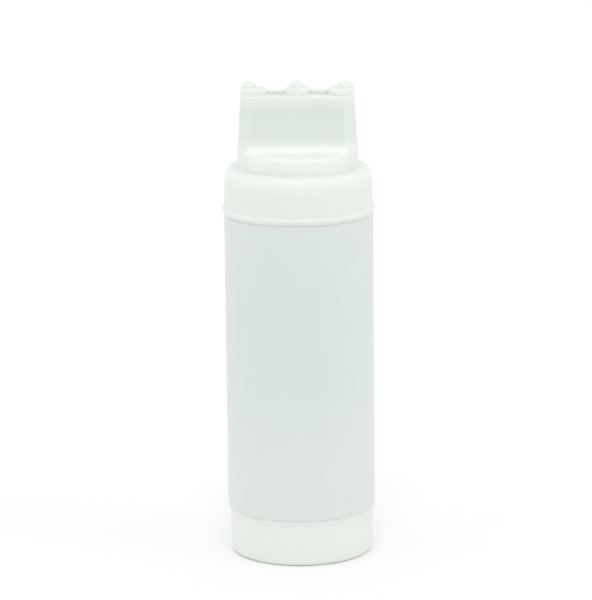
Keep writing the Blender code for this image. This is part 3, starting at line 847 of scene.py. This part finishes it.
def panel_face(x, z, depth, nozzle):
    """Returns how far forward the recessed panel lets the block's face come at (x, z).

    The panel lies behind the face by a recess that fades evenly from its foot to its upper end. Past
    the sides the panel's plane ramps forward. Past the foot it does so too, gently over the ledge and
    then steeply. At the upper end it eases forward over a long run, so that no edge shows there.
    """
    roof_edge, block_top = nozzle_levels(nozzle)
    foot = roof_edge + nozzle.panel_foot
    top = block_top - nozzle.panel_top
    half_width = tower_radii(nozzle)[1] - nozzle.block_step - nozzle.end_taper - nozzle.panel_frame
    share = np.clip((z - foot) / (top - foot), 0.0, 1.0)
    recess = nozzle.panel_foot_recess + (nozzle.panel_top_recess - nozzle.panel_foot_recess) * share
    ease = smoothstep((z - top + nozzle.panel_run) / nozzle.panel_run)
    past_side = ramp(np.abs(x) - half_width, SIDE_SLOPE, SIDE_SOFTNESS)
    past_foot = ramp(foot - z, LEDGE_SLOPE, LEDGE_SOFTNESS)
    past_foot = past_foot + ramp(foot - nozzle.ledge_run - z, STEEP_SLOPE, STEEP_SOFTNESS)
    return depth - recess * (1 - ease) + np.sqrt(past_side ** 2 + past_foot ** 2)


def block_flare(x, y, z, nozzle):
    """Returns how far the block's foot flares over the roof at each point.

    The flare is a quarter circle between face and roof: f - sqrt(f^2 - (f - h)^2) at a height h above
    the roof, with f the root's rounding, held back where the roof's edge is nearer than that.
    """
    radius = np.hypot(x, y)
    room = tower_radii(nozzle)[1] - nozzle.tower_edge - radius
    root = np.clip(room, LEAST_ROOM, nozzle.block_root)
    above = np.clip((z - roof_height(radius + root, nozzle)) / root, 0.0, 1.0)
    return root * (1 - np.sqrt(1 - (1 - above) ** 2))


def block_blend(x, y, z, nozzle):
    """Returns how far the block's ends move out at each point, to run out into the tower's wall.

    At the roof's edge an end lies just inside the tower's wall. The move fades upwards by a smooth
    step, and towards the faces as the gap to the tower grows.
    """
    roof_edge = nozzle_levels(nozzle)[0]
    foot_radius, radius = tower_radii(nozzle)
    tower_foot = UPPER_RIM_Z + nozzle.ceiling_rise + nozzle.ceiling_wall
    below = np.clip((roof_edge - z) / (roof_edge - tower_foot), 0.0, 1.0)
    gap = radius + (foot_radius - radius) * below - BLEND_SINK - np.hypot(x, y)
    near = 1 - smoothstep((gap - BLEND_NEAR) / (BLEND_FAR - BLEND_NEAR))
    low = smoothstep((roof_edge + BLEND_ABOVE - z) / BLEND_ABOVE)
    return gap * near * low


def nozzle_block(nozzle):
    """Works out the wedge block with its recessed panels.

    A rounded rectangle shrinks with height. Its depth is held to the panel's plane where that lies
    deeper. Its foot flares into the roof, and its ends run out into the tower's wall.
    """
    roof_edge, block_top = nozzle_levels(nozzle)
    edge = nozzle.block_edge
    heights = np.linspace(roof_edge - BLEND_BELOW, block_top - edge, BLOCK_ROWS)
    bend = np.linspace(0.0, math.pi / 2, EDGE_ROWS)[1:]
    inset = np.concatenate([np.zeros(BLOCK_ROWS), edge * (1 - np.cos(bend))])[:, None]
    heights = np.concatenate([heights, block_top - edge + edge * np.sin(bend)])[:, None]
    width, depth, corner = block_sizes(heights, nozzle)
    core_x, core_y, turn = plan_columns(straight=100, side=8, corner=40)
    x = core_x * (width - corner) + (corner - inset) * np.cos(turn)
    y = core_y * (depth - corner) + (corner - inset) * np.sin(turn)
    z = heights + np.zeros_like(x)
    y = np.sign(y) * soft_least(np.abs(y), panel_face(x, z, depth, nozzle), FACE_SOFTNESS)
    flare = block_flare(x, y, z, nozzle)
    x = x + flare * np.cos(turn)
    y = y + flare * np.sin(turn)
    stretch = 1 + block_blend(x, y, z, nozzle) / np.hypot(x, y)
    return capped("block", [x * stretch, y * stretch, z])


def capped(name, parts):
    """Makes a mesh from grids of x, y and z with rising rows, closed by flat faces at both ends."""
    points = np.stack(parts, axis=-1)[::-1]
    rows, columns = points.shape[:2]
    mesh = grid_mesh(name, points)
    form = bmesh.new()
    form.from_mesh(mesh)
    form.verts.ensure_lookup_table()
    form.faces.new([form.verts[index] for index in range(columns)])
    last = (rows - 1) * columns
    form.faces.new([form.verts[last + index] for index in reversed(range(columns))])
    form.to_mesh(mesh)
    form.free()
    return mesh


def nozzle_chamber(nozzle):
    """Works out the hollow in the block: the block's own plan, drawn in by its walls."""
    roof_edge, block_top = nozzle_levels(nozzle)
    low = roof_edge - nozzle.roof_wall * 2
    heights = np.linspace(low, block_top - nozzle.top_wall, CHAMBER_ROWS)[:, None]
    width, depth, corner = block_sizes(heights, nozzle)
    width = width - nozzle.side_wall
    depth = depth - nozzle.panel_foot_recess - nozzle.panel_wall
    corner = depth * CHAMBER_ROUNDNESS
    core_x, core_y, turn = plan_columns(straight=10, side=2, corner=16)
    x = core_x * (width - corner) + corner * np.cos(turn)
    y = core_y * (depth - corner) + corner * np.sin(turn)
    return capped("chamber", [x, y, heights + np.zeros_like(x)])


def rib(nozzle, reach):
    """Works out the upright rib between the tips: one rounded section, drawn out along X."""
    block_top = nozzle_levels(nozzle)[1] - SEAT_SINK
    top = block_top + nozzle.rib_height
    half = nozzle.rib_width / 2
    wide = half + nozzle.rib_root * 2
    sink = block_top - nozzle.rib_root
    section = rounded([
        (wide, sink, 0),
        (wide, block_top, 0),
        (half, block_top, nozzle.rib_root),
        (half, top, nozzle.rib_edge),
        (0.0, top, 0),
    ])
    mirrored = section[::-1][1:] * (-1, 1)
    section = np.concatenate([section, mirrored])
    x = np.linspace(-reach, reach, RIB_ROWS)[:, None] + np.zeros(len(section))
    y = section[:, 0] + np.zeros_like(x)
    z = section[:, 1] + np.zeros_like(x)
    return capped("rib", [x, y, z])


def tip_step(name, radius, top, bottom, fillet, offset, root=0.0, room=None, facet=0.0):
    """Turns one step of a tip about its own axis, by a share of a facet past the X axis.

    The side runs straight down from a rounded top edge. Its foot flares by a quarter circle, nearly as
    wide as the room that the step below leaves in each direction, and goes on down into that step.
    """
    foot = bottom - TIP_SINK
    shift = math.tau * facet / TIP_COLUMNS
    outline = rounded([(0.0, top, 0), (radius, top, fillet), (radius, foot, 0), (0.0, foot, 0)])

    def spacing(first, last):
        flared = first[0] == last[0] == radius or first[1] < bottom + root
        return root / FLARE_ROWS if flared and first[1] != last[1] else radius * 2

    def flare(wall, turn, height):
        width = np.minimum(root, ROOM_SHARE * room(turn + shift)) + np.zeros_like(height)
        above = np.clip((height - bottom) / width, 0.0, 1.0)
        return np.where(wall > radius / 2, width * (1 - np.sqrt(1 - (1 - above) ** 2)), 0.0)

    if root:
        outline = refine(outline, spacing)
    mesh = turned_mesh(name, outline, TIP_COLUMNS, flare if root else None)
    mesh.transform(Matrix.Translation((offset, 0.0, 0.0)) @ Matrix.Rotation(shift, 4, "Z"))
    return mesh


def dome_room(nozzle, pad, shift):
    """Returns, for each direction, how much of the pad's flat top lies beyond a dome.

    From a centre moved by the shift, the flat circle of radius R lies sqrt(R^2 - s^2 + a^2) - a away,
    where a is the shift along that direction.
    """
    flat = pad - nozzle.pad_fillet

    def room(turn):
        along = shift * np.cos(turn)
        reach = np.sqrt(np.maximum(flat ** 2 - shift ** 2 + along ** 2, 0.0)) - along
        return np.maximum(reach - nozzle.dome_radius, LEAST_ROOM)

    return room


def pad_room(nozzle, end, pad, offset):
    """Returns, for each direction, how much of the block's flat top lies beyond a pad."""
    half_depth = nozzle.top_depth - nozzle.block_edge
    half_width = end - nozzle.block_edge

    def room(turn):
        depth_reach = half_depth / np.maximum(np.abs(np.sin(turn)), LEAST_ROOM)
        side = half_width - np.sign(np.cos(turn)) * offset
        width_reach = side / np.maximum(np.abs(np.cos(turn)), LEAST_ROOM)
        return np.maximum(np.minimum(depth_reach, width_reach) - pad, LEAST_ROOM)

    return room


def combine(item, tool, operation):
    """Joins a tool mesh to an object, or cuts it away, and keeps the result as the object's mesh."""
    other = new_piece(tool)
    boolean = item.modifiers.new("tool", "BOOLEAN")
    boolean.operation = operation
    boolean.solver = "EXACT"
    boolean.object = other
    bpy.context.view_layer.update()
    evaluated = item.evaluated_get(bpy.context.evaluated_depsgraph_get())
    mesh = bpy.data.meshes.new_from_object(evaluated)
    item.modifiers.clear()
    item.data = mesh
    bpy.data.objects.remove(other)


class BOTTLE_OT_nozzle_cap(bpy.types.Operator):
    """Builds the nozzle cap: turned shell, wedge block, three stepped tips and their bores"""

    bl_idname = "bottle.nozzle_cap"
    bl_label = "Nozzle Cap"

    def execute(self, context):
        bottle = context.scene.bottle_sizes
        nozzle = context.scene.nozzle_sizes
        block_top = nozzle_levels(nozzle)[1]
        pad_top = TIP_TOP_Z - nozzle.dome_height
        end = tower_radii(nozzle)[1] - nozzle.block_step - nozzle.end_taper
        pad = nozzle.top_depth - nozzle.pad_margin
        pad_offset = end - nozzle.pad_end - pad
        dome_offset = end - nozzle.dome_end - nozzle.dome_radius
        item = new_piece(nozzle_shell(bottle, nozzle))
        combine(item, nozzle_block(nozzle), "UNION")
        combine(item, rib(nozzle, pad_offset), "UNION")
        for side in (-1, 0, 1):
            around = pad_room(nozzle, end, pad, side * pad_offset)
            pads = tip_step(
                "pad", pad, pad_top, block_top - SEAT_SINK, nozzle.pad_fillet, side * pad_offset,
                nozzle.tip_root, around
            )
            combine(item, pads, "UNION")
            around = dome_room(nozzle, pad, side * (dome_offset - pad_offset))
            dome = tip_step(
                "dome", nozzle.dome_radius, TIP_TOP_Z, pad_top - SEAT_SINK, nozzle.dome_fillet,
                side * dome_offset, nozzle.tip_root, around, DOME_TURN
            )
            combine(item, dome, "UNION")
        low = block_top - nozzle.top_wall * BORE_REACH
        high = TIP_TOP_Z + nozzle.bore_radius
        for side in (-1, 0, 1):
            place = side * dome_offset
            bore = tip_step("bore", nozzle.bore_radius, high, low, 0.0, place, facet=BORE_TURN)
            combine(item, bore, "DIFFERENCE")
        combine(item, nozzle_chamber(nozzle), "DIFFERENCE")
        item.data.name = "nozzle_moulding"
        set_tone_share(item, lambda points: nozzle_tone_share(points, nozzle))
        material = polyethylene("nozzle_polyethylene", "cap", depth=0.0018)
        finish_piece(item, "nozzle", "nozzle_cap", material)
        return {"FINISHED"}


class BOTTLE_OT_stage(bpy.types.Operator):
    """Makes the floor, the light and the camera"""

    bl_idname = "bottle.stage"
    bl_label = "Stage"

    def execute(self, context):
        scene = context.scene
        scene.view_settings.view_transform = "Standard"
        make_floor(scene.bottle_colours.floor)
        make_world(scene)
        make_lamps(scene)
        make_camera(scene)
        return {"FINISHED"}


def make_floor(rgb):
    """Lays a wide pale floor that keeps the bottle's soft shadow."""
    mesh = bpy.data.meshes.new("floor")
    corners = [(x * FLOOR_REACH, y * FLOOR_REACH, 0) for x, y in ((-1, -1), (1, -1), (1, 1), (-1, 1))]
    mesh.from_pydata(corners, [], [(0, 1, 2, 3)])
    floor = bpy.data.objects.new("floor", mesh)
    bpy.context.scene.collection.objects.link(floor)
    nodes = Nodes(bpy.data.materials.new("floor_paper"))
    drift = nodes.remap(nodes.noise(scale=6.0), span=(0.3, 0.7), onto=(0.0, 1.0))
    darker = opaque(tuple(part * FLOOR_DRIFT for part in rgb))
    nodes.fill(nodes.shader, {
        "Base Color": nodes.mix(drift, opaque(rgb), darker),
        "Roughness": 0.9,
        "Specular IOR Level": 0.0,
    })
    path = nodes.add("ShaderNodeLightPath", {}).outputs
    seen = nodes.math("MAXIMUM", path["Is Camera Ray"], path["Is Glossy Ray"])
    glow = nodes.add("ShaderNodeEmission", {"Strength": 1.10})
    share = nodes.math("MULTIPLY", seen, FLOOR_GLOW)
    inputs = {0: share, 1: nodes.shader.outputs[0], 2: glow.outputs[0]}
    blend = nodes.add("ShaderNodeMixShader", inputs)
    nodes.fill(nodes.tree.nodes["Material Output"], {"Surface": blend.outputs[0]})
    mesh.materials.append(nodes.owner)


def make_world(scene):
    """Surrounds the bottle with even white light, and shows white behind it."""
    scene.world = bpy.data.worlds.new("studio")
    nodes = Nodes(scene.world)
    path = nodes.add("ShaderNodeLightPath", {}).outputs
    seen = path["Is Camera Ray"]
    for kind in ("Is Glossy Ray", "Is Transmission Ray"):
        seen = nodes.math("MAXIMUM", seen, path[kind])
    strength = nodes.remap(seen, span=(0.0, 1.0), onto=(WORLD_LIGHT, WORLD_BACKDROP))
    background = nodes.tree.nodes["Background"]
    nodes.fill(background, {"Color": opaque((1.0, 1.0, 1.0)), "Strength": strength})


def turned(degrees, axis):
    """Returns a turn about an axis."""
    return Matrix.Rotation(math.radians(degrees), 4, axis)


def make_lamps(scene):
    """Lights the bottle from above its front, and more weakly from the right and the left."""
    for name, azimuth, elevation, width, strength in LAMPS:
        data = bpy.data.lights.new(name, "SUN")
        data.angle = math.radians(width)
        data.energy = strength
        lamp = bpy.data.objects.new(name, data)
        scene.collection.objects.link(lamp)
        lamp.matrix_world = turned(azimuth, "Z") @ turned(90 - elevation, "X")


def make_camera(scene):
    """Places the camera where the outline and the rims of the photographed bottle put it."""
    data = bpy.data.cameras.new("camera")
    data.sensor_fit = "VERTICAL"
    data.sensor_height = 36.0
    data.lens = 206.7
    data.clip_start = 0.05
    data.clip_end = 30.0
    camera = bpy.data.objects.new("camera", data)
    scene.collection.objects.link(camera)
    place = turned(CAMERA_TURN, "Z") @ Matrix.Translation(CAMERA_PLACE)
    camera.matrix_world = place @ turned(90 - CAMERA_DOWN, "X") @ turned(CAMERA_ROLL, "Z")
    scene.camera = camera


class BOTTLE_PT_panel(bpy.types.Panel):
    """Lists the bottle's builders and sizes"""

    bl_label = "Squeeze Bottle"
    bl_idname = "BOTTLE_PT_panel"
    bl_space_type = "VIEW_3D"
    bl_region_type = "UI"
    bl_category = "Bottle"

    def draw(self, context):
        for operator in BUILDERS:
            self.layout.operator(operator.bl_idname)
        for name in SETTINGS:
            group = getattr(context.scene, name)
            for key in group.bl_rna.properties.keys():
                if key not in ("rna_type", "name"):
                    self.layout.prop(group, key, text=key.replace("_", " ").capitalize())


BUILDERS = (BOTTLE_OT_body, BOTTLE_OT_nozzle_cap, BOTTLE_OT_base_cap, BOTTLE_OT_seals, BOTTLE_OT_stage)
SETTINGS = {
    "bottle_sizes": BottleSizes,
    "base_sizes": BaseSizes,
    "nozzle_sizes": NozzleSizes,
    "bottle_colours": BottleColours,
}
CLASSES = (*SETTINGS.values(), *BUILDERS, BOTTLE_PT_panel)


def register():
    """Registers the classes and hangs the settings on the scene."""
    for item in CLASSES:
        bpy.utils.register_class(item)
    for name, group in SETTINGS.items():
        setattr(bpy.types.Scene, name, PointerProperty(type=group))


def unregister():
    """Takes the settings off the scene and unregisters the classes."""
    for name in SETTINGS:
        delattr(bpy.types.Scene, name)
    for item in reversed(CLASSES):
        bpy.utils.unregister_class(item)


def main():
    register()
    bpy.ops.bottle.body()
    bpy.ops.bottle.nozzle_cap()
    bpy.ops.bottle.base_cap()
    bpy.ops.bottle.seals()
    bpy.ops.bottle.stage()


if __name__ == "__main__":
    main()
